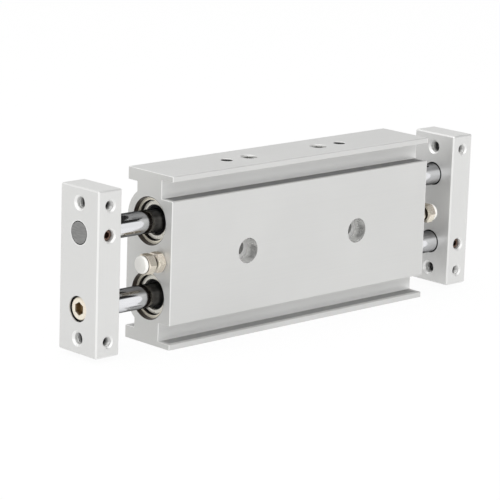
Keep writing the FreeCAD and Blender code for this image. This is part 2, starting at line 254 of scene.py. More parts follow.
def piece(name, shells, material, body, stands_for=(), sharp=32, bevel=0.0, depths=None):
    """Joins shells into one object that rides on a body and takes a material slot's finish.
    depths, one array for each shell, becomes the attribute by which painted shade darkens a hole's
    wall."""
    points = np.concatenate([part[0] for part in shells])
    starts = np.cumsum([0] + [len(part[0]) for part in shells[:-1]])
    faces = np.concatenate([part[1] + start for part, start in zip(shells, starts)])
    mesh = bpy.data.meshes.new(name)
    mesh.from_pydata(points.tolist(), [], faces.tolist())
    if depths is not None:
        attribute = mesh.attributes.new("depth", "FLOAT", "POINT")
        attribute.data.foreach_set("value", np.concatenate(depths))
    edit = bmesh.new()
    edit.from_mesh(mesh)
    bmesh.ops.remove_doubles(edit, verts=edit.verts, dist=0.0005 * MM)
    bmesh.ops.dissolve_degenerate(edit, edges=edit.edges, dist=0.0002 * MM)
    edit.to_mesh(mesh)
    edit.free()
    mesh.shade_smooth()
    mesh.set_sharp_from_angle(angle=math.radians(sharp))
    mesh.materials.append(material)
    obj = bpy.data.objects.new(name, mesh)
    bpy.context.scene.collection.objects.link(obj)
    if bevel:
        edge = obj.modifiers.new("edges", "BEVEL")
        edge.width = bevel
        edge.segments = 2
        edge.limit_method = "ANGLE"
        edge.angle_limit = math.radians(sharp)
        edge.harden_normals = True
    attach(obj, body)
    if stands_for:
        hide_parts(*stands_for)
    return obj


# ---- material nodes --------------------------------------------------------------------------

def rgba(colour):
    """A colour with its alpha; an output that carries a colour stays as it is."""
    return colour if isinstance(colour, bpy.types.NodeSocket) else (*colour, 1.0)


class Nodes:
    """Adds nodes to a tree. An input is a value, or another node's output to link."""

    def __init__(self, tree):
        self.tree = tree
        tree.nodes.clear()

    def node(self, kind, inputs=None, **options):
        made = self.tree.nodes.new(kind)
        for key, value in options.items():
            setattr(made, key, value)
        for key, value in (inputs or {}).items():
            self.put(made.inputs[key], value)
        return made

    def put(self, socket, value):
        if isinstance(value, bpy.types.NodeSocket):
            self.tree.links.new(value, socket)
        else:
            socket.default_value = value

    def maths(self, operation, *values):
        return self.node("ShaderNodeMath", dict(enumerate(values)), operation=operation).outputs[0]

    def times(self, first, *others):
        """The product of two or more shares."""
        for other in others:
            first = self.maths("MULTIPLY", first, other)
        return first

    def size(self, value):
        """A number without its sign."""
        return self.maths("ABSOLUTE", value)

    def ramp(self, value, low, high, start=0.0, end=1.0, smooth=True):
        """start below low, end above high, and a smooth or straight change between them."""
        kind = "SMOOTHSTEP" if smooth else "LINEAR"
        inputs = {
            "Value": value, "From Min": low, "From Max": high, "To Min": start, "To Max": end,
        }
        return self.node("ShaderNodeMapRange", inputs, interpolation_type=kind).outputs["Result"]

    def above(self, value, limit, fade):
        """1 where a value is over a limit; it rises over the fade past the limit."""
        return self.ramp(value, limit, limit + fade)

    def below(self, value, limit, fade):
        """1 where a value is under a limit; it falls over the fade past the limit."""
        return self.ramp(value, limit, limit + fade, 1.0, 0.0)


class Finish(Nodes):
    """A material whose nodes read Object coordinates, with a Principled surface at its end."""

    def __init__(self, name, **constants):
        self.material = bpy.data.materials.new(name)
        self.material.use_nodes = True
        super().__init__(self.material.node_tree)
        self.surface = self.node("ShaderNodeBsdfPrincipled", constants)
        self.output = self.node("ShaderNodeOutputMaterial", {"Surface": self.surface.outputs[0]})
        self.place = self.node("ShaderNodeTexCoord").outputs["Object"]

    def vector(self, operation, *values):
        made = self.node("ShaderNodeVectorMath", dict(enumerate(values)), operation=operation)
        return made.outputs["Value" if operation == "LENGTH" else "Vector"]

    def axis(self, index):
        """A point's X, Y or Z."""
        return self.node("ShaderNodeSeparateXYZ", {0: self.place}).outputs[index]

    def facing(self, index):
        """How squarely a facet faces along one axis, from 0 to 1, or less than 0 against it."""
        normal = self.node("ShaderNodeNewGeometry").outputs["True Normal"]
        return self.node("ShaderNodeSeparateXYZ", {0: normal}).outputs[index]

    def noise(self, scale, detail=3.0, roughness=0.5):
        """Noise in cycles to the metre, with one scale or with its own along X, Y and Z."""
        scales = scale if isinstance(scale, tuple) else (scale,) * 3
        stretched = self.vector("MULTIPLY", self.place, scales)
        inputs = {"Vector": stretched, "Scale": 1.0, "Detail": detail, "Roughness": roughness}
        return self.node("ShaderNodeTexNoise", inputs).outputs["Fac"]

    def radius(self, centre, square_to=ROUND_X):
        """The distance from an axis through centre; square_to is 0 along the axis, 1 across it."""
        offset = self.vector("SUBTRACT", self.place, tuple(centre))
        return self.vector("LENGTH", self.vector("MULTIPLY", offset, square_to))

    def rings(self, radius, pitch):
        """Fine turning marks: a wave of the distance from an axis."""
        return self.maths("SINE", self.times(radius, ALL_ROUND / pitch))

    def blend(self, share, first, second):
        """first where share is 0 and second where it is 1, for two colours."""
        inputs = {0: share, 6: rgba(first), 7: rgba(second)}
        return self.node("ShaderNodeMix", inputs, data_type="RGBA").outputs[2]

    def shade(self, colour, factor):
        """A colour times a number that varies over the surface."""
        grey = self.node("ShaderNodeCombineColor", {0: factor, 1: factor, 2: factor}).outputs[0]
        inputs = {0: 1.0, 6: rgba(colour), 7: grey}
        mix = self.node("ShaderNodeMix", inputs, data_type="RGBA", blend_type="MULTIPLY")
        return mix.outputs[2]

    def relief(self, height, distance, strength):
        """Adds a layer of bump over what the surface already has."""
        inputs = {"Height": height, "Distance": distance, "Strength": strength}
        normal = self.surface.inputs["Normal"]
        if normal.is_linked:
            inputs["Normal"] = normal.links[0].from_socket
        self.put(normal, self.node("ShaderNodeBump", inputs).outputs["Normal"])

    def use(self, colour, roughness):
        """Links the surface's colour and roughness."""
        self.put(self.surface.inputs["Base Color"], colour)
        self.put(self.surface.inputs["Roughness"], roughness)

    def now(self, key):
        """What the surface's socket is linked to so far."""
        return self.surface.inputs[key].links[0].from_socket

    def paint(self, share, colour, roughness=None):
        """Lays another colour and roughness over the surface where share is 1."""
        base = self.blend(share, self.now("Base Color"), colour)
        self.put(self.surface.inputs["Base Color"], base)
        if roughness is not None:
            rough = self.ramp(share, 0.0, 1.0, self.now("Roughness"), roughness, smooth=False)
            self.put(self.surface.inputs["Roughness"], rough)

    def mottle(self, colour, cloud, levels, grain, roughness, band=(0.3, 0.7)):
        """A cloud lightens and darkens the colour, and the roughness follows a grain."""
        level = self.ramp(cloud, *band, *levels)
        self.use(self.shade(colour, level), self.ramp(grain, 0.3, 0.7, *roughness))


# ---- finishes --------------------------------------------------------------------------------

def anodised(name, colour, grain_scale, roughness):
    """Clear anodised aluminium: satin, nearly even, with fine drawn or ground lines."""
    finish = Finish(name, Metallic=0.45)
    cloud = finish.noise(28.0, 2.0)
    lines = finish.noise(grain_scale, 2.0, 0.6)
    patches = finish.ramp(cloud, 0.3, 0.7, 0.97, 1.0)
    streaks = finish.ramp(lines, 0.3, 0.7, -0.01, 0.01)
    finish.relief(lines, 0.01 * MM, 0.35)
    finish.relief(finish.noise(9000.0, 1.0), 0.004 * MM, 0.5)
    finish.use(
        finish.shade(colour, finish.maths("ADD", patches, streaks)),
        finish.ramp(lines, 0.25, 0.75, roughness - 0.05, roughness + 0.05),
    )
    return finish


def paint_grooves(finish, colours, reach_x, high):
    """Painted shade: dark floors in the grooves, short of their lips and ends. Painted light: a
    paler foot on the front grooves' backs, where the grooves shade them."""
    size = Lengths(
        upper_floor=10.5, upper_lip=1.0, lower_floor=2.5, lower_lip=1.8, lip_fade=0.3,
        back=6.8, foot=5.0, clean_end=3.0, end_fade=2.5, top=1.0, edge_fade=0.1, middle_fade=1.0,
    )
    height = finish.axis(2)
    depth = finish.maths("SUBTRACT", high.y, finish.size(finish.axis(1)))
    forward = finish.ramp(finish.facing(1), -0.95, -0.9, 1.0, 0.0)
    back = finish.times(forward, finish.above(depth, size.back, size.edge_fade))
    upward = finish.ramp(finish.facing(2), *SQUARE)
    floor = finish.times(upward, finish.below(reach_x, high.x - size.clean_end, size.end_fade))
    above = finish.above(height, high.z / 2, size.middle_fade)
    below_top = finish.below(height, high.z - size.top, size.edge_fade)
    halves = (
        (finish.times(above, below_top), high.z - size.upper_floor, size.upper_lip,
         colours.upper_groove_shade),
        (finish.maths("SUBTRACT", 1.0, above), size.lower_floor, size.lower_lip, colours.groove),
    )
    for half, floor_z, lip, dark in halves:
        foot = finish.times(half, finish.below(height, floor_z, size.foot))
        # painted light: the foot of each front groove's back is made paler
        finish.paint(finish.times(back, foot), colours.groove_back_light)
        sunk = finish.times(half, finish.above(depth, lip, size.lip_fade))
        # painted shade: the groove floors are painted dark
        finish.paint(finish.times(floor, sunk), dark, 0.5)


def body_finish(colours):
    """The extrusion: drawn lines along it, painted shade in the grooves, painted highlights on the
    trimmed edges, arcs of a mill across its ends, honed bores and bare counterbores."""
    size = Lengths(
        edge=0.5, edge_fade=0.1, mill_pitch=0.42, mill_mark=0.002,
        bore_r=10.32, bore_fade=0.04, bolt_r=5.55, bolt_fade=0.07, tool_pitch=0.3, tool_mark=0.004,
    )
    mill_centre = (0, -0.060, 0.110)
    finish = anodised("anodised_body", colours.body, (6.0, 2600.0, 2600.0), 0.40)
    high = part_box("body")[1]
    reach_x = finish.size(finish.axis(0))
    paint_grooves(finish, colours, reach_x, high)
    # painted highlight: a bright band along the edges next to the body's ends
    trimmed = finish.above(reach_x, high.x - size.edge, size.edge_fade)
    finish.paint(trimmed, colours.edge_highlight, 0.3)
    at_end = finish.ramp(finish.size(finish.facing(0)), *SQUARE)
    finish.paint(at_end, colours.milled_end, 0.42)
    arcs = finish.rings(finish.radius(mill_centre), size.mill_pitch)
    finish.relief(finish.times(arcs, at_end), size.mill_mark, 0.5)
    for level in LEVELS:
        inside = finish.below(finish.radius(rod_centre(level)), size.bore_r, size.bore_fade)
        finish.paint(inside, colours.honed_bore, 0.34)
    bolts = mount("body_bolts")
    for x in mount_pair(bolts, "spacing_x_mm"):
        reach = finish.radius((x, 0, bolts["pos_m"][2]), ROUND_Y)
        inside = finish.below(reach, size.bolt_r, size.bolt_fade)
        marks = finish.times(finish.rings(reach, size.tool_pitch), inside)
        finish.relief(marks, size.tool_mark, 0.6)
        finish.paint(inside, colours.bare, 0.36)
    return finish.material


def plate_finish(colours):
    """End plates: ground flat along their length, anodised, with painted highlights on the front and
    rear bevels and on a rim where a rod comes through, painted shade on their outer faces and round
    the cap screws' heads, and a painted shadow line where a rod goes in."""
    size = Lengths(
        outer_half=6.0, half_fade=1.0, gap_r=5.6, gap_start=0.3, gap_fade=0.5,
        rim_r=5.3, rim_fade=0.1, line_fade=0.15,
    )
    finish = anodised("anodised_plate", colours.plate, (2400.0, 2400.0, 12.0), 0.38)
    square = [finish.size(finish.facing(index)) for index in range(3)]
    squarest = finish.maths("MAXIMUM", square[0], finish.maths("MAXIMUM", square[1], square[2]))
    # painted highlight on the bevels along the front and rear faces
    bevel = finish.ramp(squarest, *SQUARE, 1.0, 0.0)
    finish.paint(finish.times(bevel, finish.ramp(square[1], 0.3, 0.5)), colours.edge_highlight, 0.3)

    reach_x = finish.size(finish.axis(0))
    inner_face = min(-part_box("end_plate_left")[1].x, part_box("end_plate_right")[0].x)
    outside = finish.above(reach_x, inner_face + size.outer_half, size.half_fade)
    # painted shade: the outer faces are painted a little darker than the rest of the plate
    outer_face_shade = finish.times(finish.ramp(square[0], *SQUARE), outside)
    finish.paint(outer_face_shade, colours.outer_face_shade)
    for side, sign in SIDES.items():
        here = finish.above(finish.times(finish.axis(0), sign), 0.0, size.half_fade)
        here = finish.times(here, outside)
        # painted shade: a dark ring round each cap screw's head, down in its hole
        sunk = finish.maths("SUBTRACT", abs(end_x("end_plate_" + side, side)), reach_x)
        capped = finish.radius(rod_centre(capped_level(side)))
        gap = finish.times(
            finish.below(capped, size.gap_r, size.rim_fade),
            finish.above(sunk, size.gap_start, size.gap_fade),
        )
        finish.paint(finish.times(gap, here), colours.seal, 0.5)
        # painted highlight: a bright rim round the hole where the rod comes through
        through = finish.radius(rod_centre(through_level(side)))
        rim = finish.below(through, size.rim_r, size.rim_fade)
        finish.paint(finish.times(rim, here), colours.edge_highlight, 0.25)
    inside = finish.maths("SUBTRACT", 1.0, outside)
    # painted shadow: a dark line round each rod where it goes into a plate's inner face
    for level in LEVELS:
        line = finish.below(finish.radius(rod_centre(level)), size.rim_r, size.line_fade)
        finish.paint(finish.times(line, inside), colours.seal, 0.5)
    return finish.material


def cover_finish(colours, level):
    """Bare aluminium off a lathe: rings about the rod, a little staining, painted shade in the
    groove.
    """
    size = Lengths(tool_pitch=0.12, tool_mark=0.003, groove_shade_fade=0.03)
    finish = Finish("turned_cover_" + level, Metallic=0.6)
    reach = finish.radius(rod_centre(level))
    stain = finish.noise(400.0)
    finish.relief(finish.rings(reach, size.tool_pitch), size.tool_mark, 0.6)
    finish.mottle(colours.cover, stain, (0.9, 1.0), stain, (0.26, 0.36), band=(0.3, 0.75))
    # painted shade: the cover's face is painted dark out past its groove
    groove_shade_r = settings().detail.cover_groove_r - size.groove_shade_fade
    finish.paint(finish.above(reach, groove_shade_r, size.groove_shade_fade), colours.seal, 0.5)
    return finish.material


def chrome_finish(colours, level):
    """Hard chrome, ground round the rod, with an oil film and painted shade beside and inside the
    bores and a painted dark reflection along the top; the cut ends are dull, faced in rings, with
    chamfers painted dark as shade."""
    size = Lengths(
        grinding=0.0004, oil_and_shade_drift=1.5, oil_and_shade_start=-1.0, dull_start=0.5, dull_fade=2.5,
        chamfer_fade=0.03, cut_start=0.06, cut_fade=0.04, facing_pitch=0.22, facing_mark=0.003,
    )
    detail = settings().detail
    dark_rim = {"Specular Tint": (0.12, 0.12, 0.12, 1.0)}
    finish = Finish("hard_chrome_" + level, Metallic=1.0, **dark_rim)
    haze = finish.noise((40.0, 400.0, 400.0))
    finish.relief(finish.noise((2600.0, 90.0, 90.0), 2.0), size.grinding, 0.4)

    beside = finish.maths("SUBTRACT", finish.size(finish.axis(0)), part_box("body")[1].x)
    drift = finish.ramp(haze, 0.0, 1.0, -size.oil_and_shade_drift, size.oil_and_shade_drift)
    beside = finish.maths("ADD", beside, drift)
    # an oil film and painted shade darken the rods beside the body and inside its bores
    darkened = finish.ramp(beside, size.oil_and_shade_start, detail.oil_and_shade_reach, 0.35, 1.0)
    # painted dark reflection: the rods are darker where they face up
    upper_side_shade = finish.ramp(finish.facing(2), 0.40, 0.60, 1.0, 0.5)
    dull = finish.ramp(beside, size.dull_start, size.dull_start + size.dull_fade, 0.25, 0.0)
    cloud = finish.ramp(haze, 0.3, 0.7, 0.92, 1.04)
    finish.use(
        finish.shade(colours.chrome, finish.times(cloud, darkened, upper_side_shade)),
        finish.maths("ADD", finish.ramp(haze, 0.3, 0.7, 0.08, 0.12), dull),
    )

    low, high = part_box("piston_rod_" + level)
    from_middle = finish.size(finish.maths("SUBTRACT", finish.axis(0), (low.x + high.x) / 2))
    half = (high.x - low.x) / 2
    # painted shade: the rods' end chamfers are painted near black
    chamfer = finish.above(from_middle, half - detail.rod_chamfer, size.chamfer_fade)
    finish.paint(chamfer, colours.chamfer, 0.4)
    cut = finish.above(from_middle, half - size.cut_start, size.cut_fade)
    rings = finish.rings(finish.radius(rod_centre(level)), size.facing_pitch)
    finish.relief(finish.times(rings, cut), size.facing_mark, 0.7)
    stained = finish.ramp(finish.noise((300.0, 300.0, 1800.0)), 0.35, 0.7, 0.9, 1.1)
    finish.paint(cut, finish.shade(colours.cut_steel, stained), 0.55)
    return finish.material


def zinc_finish(name, metallic, pale, warm, roughness=(0.20, 0.28)):
    """Yellow zinc plate, which shifts a little from one colour to another from place to place."""
    finish = Finish(name, Metallic=metallic)
    drift = finish.noise(260.0, 2.0)
    fine = finish.noise(5200.0, 2.0)
    finish.relief(fine, 0.002 * MM, 0.4)
    finish.use(
        finish.blend(finish.ramp(drift, 0.35, 0.65), pale, warm),
        finish.ramp(fine, 0.3, 0.7, *roughness),
    )
    return finish


def stop_finish(colours):
    """Zinc plate on the stops' hexagons, with painted shade on their upward flats, in their threads,
    on their square faces and down the inner cone of their heads."""
    size = Lengths(
        thread_r=2.9, cone_r=3.9, fade=0.2, right_r=3.2, right_fade=0.3, middle_fade=1.0,
    )
    finish = zinc_finish("zinc_stop", 0.65, colours.zinc, colours.zinc_pink)
    reach = finish.radius(centre_of("lock_nut_left"))
    # painted shade on the thread between the head and the lock nut
    finish.paint(finish.below(reach, size.thread_r, size.fade), colours.crevice_shade, 0.45)
    # painted shade on the faces where head and nut meet each other and the body
    outward = finish.times(finish.facing(0), finish.maths("SIGN", finish.axis(0)))
    flat = finish.ramp(finish.size(outward), 0.92, 0.97)
    inward = finish.ramp(outward, -0.6, -0.5, 1.0, 0.0)
    cone = finish.times(inward, finish.below(reach, size.cone_r, size.fade))
    on_left = finish.below(finish.axis(0), 0.0, size.middle_fade)
    kept = finish.maths("MAXIMUM", on_left, finish.below(reach, size.right_r, size.right_fade))
    gap_shade = finish.times(finish.maths("MAXIMUM", flat, cone), kept)
    finish.paint(gap_shade, colours.crevice_shade, 0.45)
    # painted shade on the hexagons' upward flats
    finish.paint(finish.ramp(finish.facing(2), 0.9, 0.97), colours.hexagon_top_shade, 0.35)
    return finish.material


def screw_finish(colours, side):
    """Zinc plate on a cap screw, with painted shade deep in its socket and down the sides of its
    head.
    """
    size = Lengths(clean=0.25, darkened=1.15, socket_r=3.0, socket_fade=0.05, head_r=4.7, head_fade=0.1)
    finish = zinc_finish("zinc_screw_" + side, 0.85, colours.zinc, colours.zinc_pink)
    reach = finish.radius(rod_centre(capped_level(side)))
    sunk = finish.maths("SUBTRACT", finish.axis(0), end_x("cap_screw_" + side, side))
    deep = finish.above(finish.size(sunk), size.clean, size.darkened)
    inside = finish.below(reach, size.socket_r, size.socket_fade)
    # painted shade deep in the socket
    finish.paint(finish.times(deep, inside), colours.socket, 0.3)
    outside = finish.above(reach, size.head_r, size.head_fade)
    # painted shade down the sides of the head, in its hole
    finish.paint(finish.times(deep, outside), colours.crevice_shade, 0.5)
    return finish.material


def ring_finish(colours):
    """Zinc plated spring steel, with painted shade on its edges."""
    finish = zinc_finish("zinc_spring_ring", 0.3, colours.ring, colours.ring, (0.3, 0.3))
    # painted shade on the ring's edges
    crevice_shade = finish.ramp(finish.size(finish.facing(0)), 0.1, 0.3, 1.0, 0.0)
    finish.paint(crevice_shade, colours.crevice_shade, 0.4)
    return finish.material


def thread_finish(colours):
    """Bright cut aluminium, with painted shade that darkens it with depth."""
    size = Lengths(dark_start=1.4, dark_end=4.6)
    finish = Finish("cut_aluminium", Metallic=0.6)
    fine = finish.noise(3600.0, 2.0)
    deep = finish.node("ShaderNodeAttribute", attribute_name="depth").outputs["Fac"]
    finish.relief(fine, 0.002 * MM, 0.4)
    band = (size.dark_start, size.dark_end)
    # painted shade: the wall darkens with depth below the mouth
    finish.mottle(colours.cut, deep, (1.0, 0.08), fine, (0.36, 0.46), band)
    return finish.material


def bored_finish(colours):
    """Bare bored aluminium: half polished, with the boring tool's marks round the wall."""
    size = Lengths(tool_pitch=0.45, tool_mark=0.006)
    finish = Finish("bored_aluminium", Metallic=0.65)
    stain = finish.noise(500.0, 2.0)
    finish.relief(finish.rings(finish.axis(1), size.tool_pitch), size.tool_mark, 0.7)
    finish.mottle(colours.bored, stain, (0.92, 1.0), stain, (0.20, 0.28))
    return finish.material


def rubber_finish(name, colour, roughness=0.42):
    """Moulded rubber with fine pores and a little dust."""
    finish = Finish(name, Metallic=0.0, **{"Specular IOR Level": 0.25})
    fine = finish.noise(7000.0, 2.0)
    finish.relief(fine, 0.004 * MM, 0.5)
    shift = (roughness - 0.06, roughness + 0.08)
    finish.mottle(colour, finish.noise(600.0), (0.9, 1.15), fine, shift, band=(0.4, 0.8))
    return finish.material


def urethane_finish(colours):
    """Cast white urethane: smooth and even, faintly cloudy."""
    finish = Finish("white_urethane", Metallic=0.0)
    fine = finish.noise(6000.0, 2.0)
    finish.relief(fine, 0.002 * MM, 0.4)
    finish.mottle(colours.tip, finish.noise(300.0, 2.0), (0.97, 1.0), fine, (0.30, 0.38))
    return finish.material


def plain_finish(name, colour, roughness=0.3, metallic=1.0):
    """Small inner or threaded parts: fine grain and uneven polish."""
    finish = Finish(name, Metallic=metallic)
    fine = finish.noise(4200.0, 2.0)
    finish.relief(fine, 0.003 * MM, 0.5)
    shift = (roughness - 0.06, roughness + 0.08)
    finish.mottle(colour, finish.noise(320.0, 2.0), (0.88, 1.05), fine, shift)
    return finish.material


# ---- what a user may change ------------------------------------------------------------------

def colour_property(name, description, *default):
    return FloatVectorProperty(
        name=name, description=description, default=default, subtype="COLOR", min=0.0, max=1.0
    )


def length_property(name, description, default):
    return FloatProperty(
        name=name, description=description, default=default, unit="LENGTH", precision=5, min=0.0
    )


def angle_property(name, description, degrees):
    return FloatProperty(
        name=name, description=description, default=math.radians(degrees), subtype="ANGLE"
    )


def number_property(name, description, default, **limits):
    return FloatProperty(name=name, description=description, default=default, min=0.0, **limits)


class CylinderColours(bpy.types.PropertyGroup):
    body: colour_property("Body", "Anodised extrusion", 0.65, 0.65, 0.64)
    plate: colour_property("End plates", "Anodised plates", 0.71, 0.71, 0.70)
    # painted shade on the plates' outer faces
    outer_face_shade: colour_property("Outer faces", "The plates' outer faces", 0.655, 0.655, 0.645)
    milled_end: colour_property("Milled ends", "The body's cut ends", 0.585, 0.585, 0.57)
    # painted shade on the groove floors, and painted light on the front grooves' backs
    groove: colour_property("Lower grooves", "Floors of the lower grooves", 0.33, 0.33, 0.33)
    upper_groove_shade: colour_property("Upper grooves", "Floors of the upper ones", 0.20, 0.20, 0.20)
    groove_back_light: colour_property("Groove backs", "Low on the front grooves' backs", 0.86, 0.86, 0.85)
    # painted highlight on bevels, trimmed edges and rod rims
    edge_highlight: colour_property("Bright edges", "Bevels and trimmed edges", 0.80, 0.80, 0.79)
    honed_bore: colour_property("Bores", "Hard anodised bore walls", 0.035, 0.025, 0.020)
    bare: colour_property("Bare metal", "Bolt holes and pistons", 0.66, 0.66, 0.65)
    bored: colour_property("Counterbores", "Walls of the counterbores", 0.80, 0.80, 0.79)
    cut: colour_property("Cut threads", "Drilled and tapped aluminium", 0.84, 0.84, 0.83)
    chrome: colour_property("Chrome", "Hard chrome on the rods", 0.80, 0.805, 0.825)
    cut_steel: colour_property("Cut steel", "The rods' cut ends", 0.325, 0.325, 0.32)
    # painted shade on the rods' chamfers
    chamfer: colour_property("Rod chamfers", "Oily chamfers on the rods", 0.05, 0.05, 0.05)
    zinc: colour_property("Zinc plate", "Stops and cap screws", 0.84, 0.79, 0.67)
    zinc_pink: colour_property("Warm zinc plate", "Where zinc turns warm", 0.84, 0.76, 0.66)
    # painted shade on the stops' upward flats
    hexagon_top_shade: colour_property("Stop tops", "Top flats of the stops", 0.42, 0.36, 0.27)
    ring: colour_property("Spring rings", "Zinc plate on the rings", 0.90, 0.85, 0.72)
    # painted shade in crevices, gaps and threads
    crevice_shade: colour_property("Dark grease", "Ring edges and greasy steel", 0.05, 0.04, 0.03)
    cover: colour_property("Rod covers", "Turned aluminium covers", 0.76, 0.74, 0.67)
    # also painted shade: the dark gaps round the cap screws, in the cover grooves and where the rods
    # go into the plates
    seal: colour_property("Seals", "Black rubber and dark gaps", 0.012, 0.012, 0.013)
    tip: colour_property("Stop tips", "White cast urethane", 0.94, 0.93, 0.89)
    plug: colour_property("Port plugs", "Nickel plated plugs", 0.66, 0.66, 0.64)
    # painted shade deep in the sockets
    socket: colour_property("Sockets", "Oily floors of the sockets", 0.30, 0.22, 0.12)
    set_screw: colour_property("Set screws", "Brown passivated steel", 0.17, 0.11, 0.085)
    bush: colour_property("Bushes", "Sintered bronze", 0.42, 0.27, 0.12)
    buffer: colour_property("Buffers", "Amber urethane", 0.30, 0.16, 0.04)
    magnet: colour_property("Magnets", "Bonded ferrite", 0.05, 0.05, 0.055)
    wear_ring: colour_property("Wear rings", "Filled plastic", 0.32, 0.28, 0.20)
    clip: colour_property("Clips", "Spring steel", 0.20, 0.20, 0.21)


class CylinderDetail(bpy.types.PropertyGroup):
    face_pitch: length_property("Face thread", "Pitch of the plate face threads", 1.0 * MM)
    fine_pitch: length_property("Fine thread", "Pitch of the small threads", 0.8 * MM)
    thread_depth: length_property("Thread depth", "Height of a thread's ridge", 0.3 * MM)
    rod_chamfer: length_property("Rod chamfer", "Chamfer on the rods' ends", 0.4 * MM)
    # how far an oil film and painted shade darken the rods
    oil_and_shade_reach: length_property("Oil film", "How far oil darkens the rods", 7.0 * MM)
    head_height: length_property("Stop head", "Height of the stop bolts' heads", 4.3 * MM)
    head_bevel: length_property("Hexagon edges", "Rounding of hexagon edges", 0.12 * MM)
    turned_edge: length_property("Turned edges", "Rounding of turned edges", 0.15 * MM)
    cover_groove_r: length_property("Cover groove", "Inner radius in a rod cover", 8.25 * MM)
    wiper_r: length_property("Wipers", "Inner radius of the rod seals", 5.05 * MM)
    ring_width: length_property("Spring rings", "Width opposite the gap", 2.0 * MM)
    ring_gap: angle_property("Ring gap", "The spring rings' opening", 30)
    ring_turn: angle_property("Ring turn", "How far the gap lies below the rear", 18)
    outer_face_share: number_property(
        "Hexagon face", "Flat face of a hexagon, as a share of its flats", 0.95, max=1.0
    )
    inner_face_share: number_property(
        "Inner hexagon face", "The same where head and lock nut face each other", 0.80, max=1.0
    )
    around: IntProperty(name="Facets", description="Steps round a turned part", default=96, min=24)


class CylinderStage(bpy.types.PropertyGroup):
    azimuth: angle_property("Azimuth", "The camera's turn from straight ahead", -43.8)
    elevation: angle_property("Elevation", "The camera's height angle", 13.2)
    roll: angle_property("Roll", "The camera's tilt", -1.89)
    distance: length_property("Distance", "Camera to aim point", 1.1297)
    aim: FloatVectorProperty(
        name="Aim", description="Aim point from the object's centre", unit="LENGTH", precision=5,
        default=(-9.17 * MM, 6.64 * MM, -6.63 * MM),
    )
    lens: number_property("Lens", "Focal length in millimetres", 186.3)
    sky: number_property("Sky", "Light from all round", 0.92)
    front_shine: number_property("Front", "What polished metal sees in front", 1.0)
    rear_shine: number_property("Rear", "What polished metal sees behind", 0.84)
    dark_patch: number_property("Dark patch", "What it sees high on the right", 0.04)
    key: number_property("Key light", "Front softbox in watts", 2.0)
    side: number_property("Side light", "Left softbox in watts", 0.4)
    top: number_property("Top light", "Overhead softbox in watts", 4.8)


class CylinderSettings(bpy.types.PropertyGroup):
    colours: PointerProperty(type=CylinderColours)
    detail: PointerProperty(type=CylinderDetail)
    stage: PointerProperty(type=CylinderStage)


def settings():
    return bpy.context.scene.cylinder_settings


# ---- body, plates and inner parts, whose shapes come from the frame ----------------------------

def dress(node, material):
    """Gives a node of the frame another finish."""
    slots = frame["nodes"][node].data.materials
    slots.clear()
    slots.append(material)


class CYLINDER_OT_body(bpy.types.Operator):
    """Finish the body extrusion and the two end plates"""
    bl_idname = "cylinder.body"
    bl_label = "Body and plates"

    def execute(self, context):
        colours = settings().colours
        dress("body", body_finish(colours))
        plates = plate_finish(colours)
        for side in SIDES:
            dress("end_plate_" + side, plates)
        return {"FINISHED"}


class CYLINDER_OT_inside(bpy.types.Operator):
    """Finish the parts inside the body: bushes, seals, pistons, magnets and clips"""
    bl_idname = "cylinder.inside"
    bl_label = "Inner parts"

    def execute(self, context):
        colours = settings().colours
        finishes = {
            "guide_bush": plain_finish("sintered_bronze", colours.bush, 0.42),
            "cover_oring": rubber_finish("black_oring", colours.seal),
            "buffer_ring": rubber_finish("amber_urethane", colours.buffer, 0.35),
            "piston_seals": rubber_finish("black_piston_seal", colours.seal),
            "piston_magnet": plain_finish("ferrite", colours.magnet, 0.6, 0.3),
            "wear_ring": plain_finish("filled_plastic", colours.wear_ring, 0.5, 0.0),
            "piston_clips": plain_finish("spring_steel", colours.clip),
            "piston_": plain_finish("turned_piston", colours.bare),
        }
        for node, obj in frame["nodes"].items():
            kind = next((k for k in finishes if node.startswith(k)), None)
            if kind and not obj.hide_render:
                dress(node, finishes[kind])
        return {"FINISHED"}


# ---- rods ------------------------------------------------------------------------------------

def rod_outline(node, chamfer, clip_node):
    """Half a rod's section from axis to axis, with the two grooves that the clips sit in."""
    size = Lengths(groove=0.5, width=1.04)
    low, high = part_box(node)
    clip_low, clip_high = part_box(clip_node)
    length = high.x - low.x
    radius = (high.y - low.y) / 2
    first = clip_low.x - low.x
    last = clip_high.x - low.x
    return np.array([
        (0, 0), (0, radius - chamfer), (chamfer, radius),
        (first, radius), (first, radius - size.groove),
        (first + size.width, radius - size.groove), (first + size.width, radius),
        (last - size.width, radius), (last - size.width, radius - size.groove),
        (last, radius - size.groove), (last, radius),
        (length - chamfer, radius), (length, radius - chamfer), (length, 0),
    ])


class CYLINDER_OT_rods(bpy.types.Operator):
    """Make the two through rods as smooth turned bars"""
    bl_idname = "cylinder.rods"
    bl_label = "Rods"

    def execute(self, context):
        detail = settings().detail
        for level in LEVELS:
            node = "piston_rod_" + level
            outline = rod_outline(node, detail.rod_chamfer, "piston_clips_" + level)
            start = rod_centre(level) + ALONG * end_x(node, "left")
            grid = lathe(start, ALONG, outline, around=2 * detail.around)
            chrome = chrome_finish(settings().colours, level)
            piece("rod_" + level, [shell(grid, loop=False)], chrome, "slider", [node])
        return {"FINISHED"}


# ---- what closes the bores -------------------------------------------------------------------

